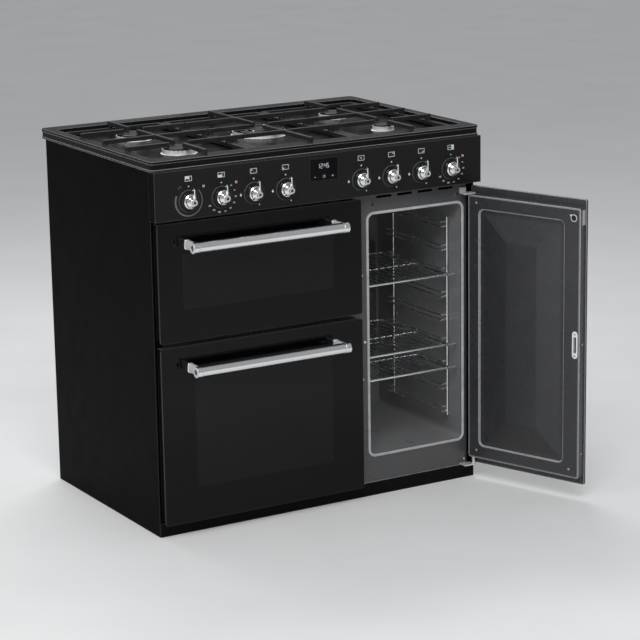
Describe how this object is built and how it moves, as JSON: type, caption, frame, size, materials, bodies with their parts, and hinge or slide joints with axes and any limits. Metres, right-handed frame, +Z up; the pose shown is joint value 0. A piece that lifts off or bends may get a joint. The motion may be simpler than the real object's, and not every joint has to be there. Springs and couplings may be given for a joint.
{
  "type": "range cooker with three ovens",
  "caption": "Freestanding range cooker: gas hob over an upper grill oven, a main oven with drop-down doors and a tall side-hung oven, with turning knobs, sliding shelves and lift-off supports",
  "frame": {"origin": "on the floor under the middle of the hob's width and depth", "axes": "+X to the right seen from the front, -Y out of the front, +Z up"},
  "size_m": [1.0402, 0.9057, 0.908],
  "materials": {
    "black_enamel": "gloss vitreous enamel",
    "galvanised_steel": "zinc coated sheet",
    "grey_enamel": "dark grey vitreous enamel",
    "seal_rubber": "matt silicone",
    "element_steel": "dull sheathed tube",
    "fan_steel": "plain steel",
    "chrome_wire": "bright plated wire",
    "burner_alloy": "cast and machined",
    "cap_enamel": "matt black enamel",
    "plug_ceramic": "glazed ceramic",
    "brass": "machined",
    "display_glass": "gloss black window",
    "door_glass": "black-printed toughened glass",
    "chrome": "polished",
    "spindle_steel": "turned",
    "cast_iron": "matt black enamelled casting",
    "fitting_brass": "machined fitting and black terminal box"
  },
  "bodies": {
    "chassis": {"plinth_frame": "black_enamel", "levelling_feet": "galvanised_steel", "base_tray": "galvanised_steel", "side_panel_left": "black_enamel", "side_panel_right": "black_enamel", "back_panel": "galvanised_steel", "hob_top": "black_enamel", "control_fascia": "black_enamel", "front_frame": "grey_enamel", "upper_oven_cavity": "grey_enamel", "lower_oven_cavity": "grey_enamel", "right_oven_cavity": "grey_enamel", "left_oven_seals": "seal_rubber", "right_oven_seal": "seal_rubber", "grill_element": "element_steel", "fan_covers": "grey_enamel", "fan_motors": "galvanised_steel", "side_racks": "chrome_wire", "lower_oven_shelf": "chrome_wire", "grill_pan": "grey_enamel", "burner_cups": "galvanised_steel", "burner_crowns": "burner_alloy", "burner_caps": "cap_enamel", "spark_plugs": "plug_ceramic", "gas_valve_rail": "brass", "oven_switches": "galvanised_steel", "clock_module": "display_glass", "left_door_hinges": "galvanised_steel", "right_door_hardware": "chrome", "service_inlets": "fitting_brass"},
    "upper_door": {"upper_door_glass": "door_glass", "upper_door_liner": "grey_enamel", "upper_door_handle": "chrome"},
    "lower_door": {"lower_door_glass": "door_glass", "lower_door_liner": "grey_enamel", "lower_door_handle": "chrome"},
    "right_door": {"right_door_skin": "door_glass", "right_door_liner": "grey_enamel", "right_door_handle": "chrome"},
    "top_shelf": {"right_shelf_top": "chrome_wire"},
    "middle_shelf": {"right_shelf_middle": "chrome_wire"},
    "bottom_shelf": {"right_shelf_bottom": "chrome_wire"},
    "left_fan": {"lower_oven_fan": "fan_steel"},
    "right_fan": {"right_oven_fan": "fan_steel"},
    "left_support": {"pan_support_left": "cast_iron"},
    "middle_support": {"pan_support_middle": "cast_iron"},
    "right_support": {"pan_support_right": "cast_iron"},
    "upper_oven_dial": {"knob_upper_oven": "chrome"},
    "lower_oven_dial": {"knob_lower_oven": "chrome"},
    "right_oven_dial": {"knob_right_oven": "chrome"},
    "burner_1_spindle": {"spindle_burner_1": "spindle_steel"},
    "burner_1_dial": {"knob_burner_1": "chrome"},
    "burner_2_spindle": {"spindle_burner_2": "spindle_steel"},
    "burner_2_dial": {"knob_burner_2": "chrome"},
    "burner_3_spindle": {"spindle_burner_3": "spindle_steel"},
    "burner_3_dial": {"knob_burner_3": "chrome"},
    "burner_4_spindle": {"spindle_burner_4": "spindle_steel"},
    "burner_4_dial": {"knob_burner_4": "chrome"},
    "burner_5_spindle": {"spindle_burner_5": "spindle_steel"},
    "burner_5_dial": {"knob_burner_5": "chrome"}
  },
  "joints": [
    {"name": "right_door_hinge", "type": "hinge", "parent": "chassis", "child": "right_door", "pos_m": [0.435, -0.297, 0.395], "axis": [0, 0, 1], "range_deg": [-110, 0]},
    {"name": "upper_door_hinge", "type": "hinge", "parent": "chassis", "child": "upper_door", "pos_m": [-0.17075, -0.297, 0.4869], "axis": [1, 0, 0], "range_deg": [0, 90], "stiffness_Nm_per_rad": 3, "springref_deg": -28.65},
    {"name": "lower_door_hinge", "type": "hinge", "parent": "chassis", "child": "lower_door", "pos_m": [-0.17075, -0.297, 0.047], "axis": [1, 0, 0], "range_deg": [0, 84], "stiffness_Nm_per_rad": 6, "springref_deg": -28.65},
    {"name": "top_shelf_slide", "type": "slide", "parent": "chassis", "child": "top_shelf", "axis": [0, -1, 0], "range_m": [0, 0.16]},
    {"name": "middle_shelf_slide", "type": "slide", "parent": "chassis", "child": "middle_shelf", "axis": [0, -1, 0], "range_m": [0, 0.16]},
    {"name": "bottom_shelf_slide", "type": "slide", "parent": "chassis", "child": "bottom_shelf", "axis": [0, -1, 0], "range_m": [0, 0.16]},
    {"name": "left_support_lift", "type": "slide", "parent": "chassis", "child": "left_support", "axis": [0, 0, 1], "range_m": [0, 0.1]},
    {"name": "middle_support_lift", "type": "slide", "parent": "chassis", "child": "middle_support", "axis": [0, 0, 1], "range_m": [0, 0.1]},
    {"name": "right_support_lift", "type": "slide", "parent": "chassis", "child": "right_support", "axis": [0, 0, 1], "range_m": [0, 0.1]},
    {"name": "left_fan_spin", "type": "hinge", "parent": "chassis", "child": "left_fan", "pos_m": [-0.17075, 0.1, 0.2575], "axis": [0, 1, 0], "continuous": true},
    {"name": "right_fan_spin", "type": "hinge", "parent": "chassis", "child": "right_fan", "pos_m": [0.27575, 0.1, 0.406], "axis": [0, 1, 0], "continuous": true},
    {"name": "upper_oven_dial_turn", "type": "hinge", "parent": "chassis", "child": "upper_oven_dial", "pos_m": [-0.3599, -0.33, 0.803], "axis": [0, 1, 0], "range_deg": [0, 270]},
    {"name": "lower_oven_dial_turn", "type": "hinge", "parent": "chassis", "child": "lower_oven_dial", "pos_m": [-0.2746, -0.33, 0.803], "axis": [0, 1, 0], "range_deg": [0, 270]},
    {"name": "right_oven_dial_turn", "type": "hinge", "parent": "chassis", "child": "right_oven_dial", "pos_m": [0.3599, -0.33, 0.803], "axis": [0, 1, 0], "range_deg": [0, 270]},
    {"name": "burner_1_push", "type": "slide", "parent": "chassis", "child": "burner_1_spindle", "axis": [0, 1, 0], "range_m": [0, 0.003], "stiffness_N_per_m": 1500, "springref_m": -0.002},
    {"name": "burner_1_turn", "type": "hinge", "parent": "burner_1_spindle", "child": "burner_1_dial", "pos_m": [-0.1893, -0.33, 0.803], "axis": [0, -1, 0], "range_deg": [0, 180]},
    {"name": "burner_2_push", "type": "slide", "parent": "chassis", "child": "burner_2_spindle", "axis": [0, 1, 0], "range_m": [0, 0.003], "stiffness_N_per_m": 1500, "springref_m": -0.002},
    {"name": "burner_2_turn", "type": "hinge", "parent": "burner_2_spindle", "child": "burner_2_dial", "pos_m": [-0.104, -0.33, 0.803], "axis": [0, -1, 0], "range_deg": [0, 180]},
    {"name": "burner_3_push", "type": "slide", "parent": "chassis", "child": "burner_3_spindle", "axis": [0, 1, 0], "range_m": [0, 0.003], "stiffness_N_per_m": 1500, "springref_m": -0.002},
    {"name": "burner_3_turn", "type": "hinge", "parent": "burner_3_spindle", "child": "burner_3_dial", "pos_m": [0.104, -0.33, 0.803], "axis": [0, -1, 0], "range_deg": [0, 180]},
    {"name": "burner_4_push", "type": "slide", "parent": "chassis", "child": "burner_4_spindle", "axis": [0, 1, 0], "range_m": [0, 0.003], "stiffness_N_per_m": 1500, "springref_m": -0.002},
    {"name": "burner_4_turn", "type": "hinge", "parent": "burner_4_spindle", "child": "burner_4_dial", "pos_m": [0.1893, -0.33, 0.803], "axis": [0, -1, 0], "range_deg": [0, 180]},
    {"name": "burner_5_push", "type": "slide", "parent": "chassis", "child": "burner_5_spindle", "axis": [0, 1, 0], "range_m": [0, 0.003], "stiffness_N_per_m": 1500, "springref_m": -0.002},
    {"name": "burner_5_turn", "type": "hinge", "parent": "burner_5_spindle", "child": "burner_5_dial", "pos_m": [0.2746, -0.33, 0.803], "axis": [0, -1, 0], "range_deg": [0, 180]}
  ]
}
